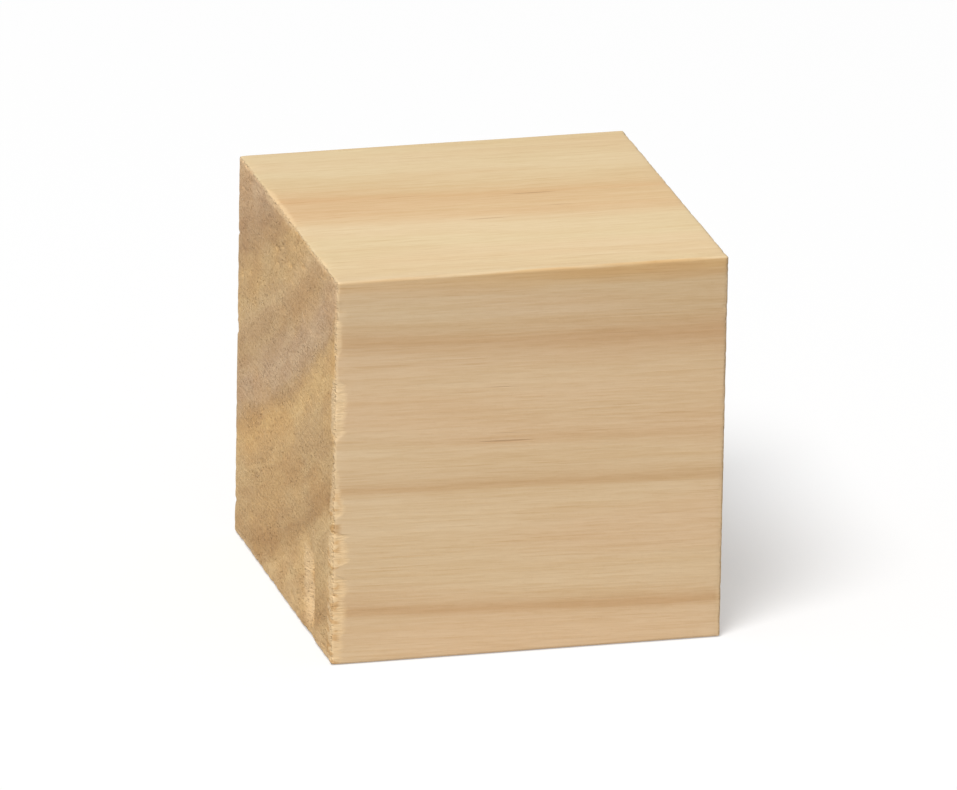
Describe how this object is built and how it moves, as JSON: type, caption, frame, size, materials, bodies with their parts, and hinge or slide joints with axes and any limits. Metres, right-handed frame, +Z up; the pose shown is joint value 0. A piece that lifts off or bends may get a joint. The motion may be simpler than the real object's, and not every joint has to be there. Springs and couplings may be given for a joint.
{
  "type": "wooden cube",
  "caption": "Plain solid wooden cube with planed sides, sawn end-grain faces and lightly eased edges.",
  "frame": {"origin": "middle of the bottom face, on the surface that the cube stands on", "axes": "+Z up to the top face, X along the grain with the sawn end-grain faces at -X and +X, -Y out of the front planed face"},
  "size_m": [0.0254, 0.0254, 0.0254],
  "materials": {
    "pine": "bare unfinished softwood, planed along the grain and sawn at the ends"
  },
  "bodies": {
    "root": {"wooden_cube": "pine"}
  },
  "joints": []
}
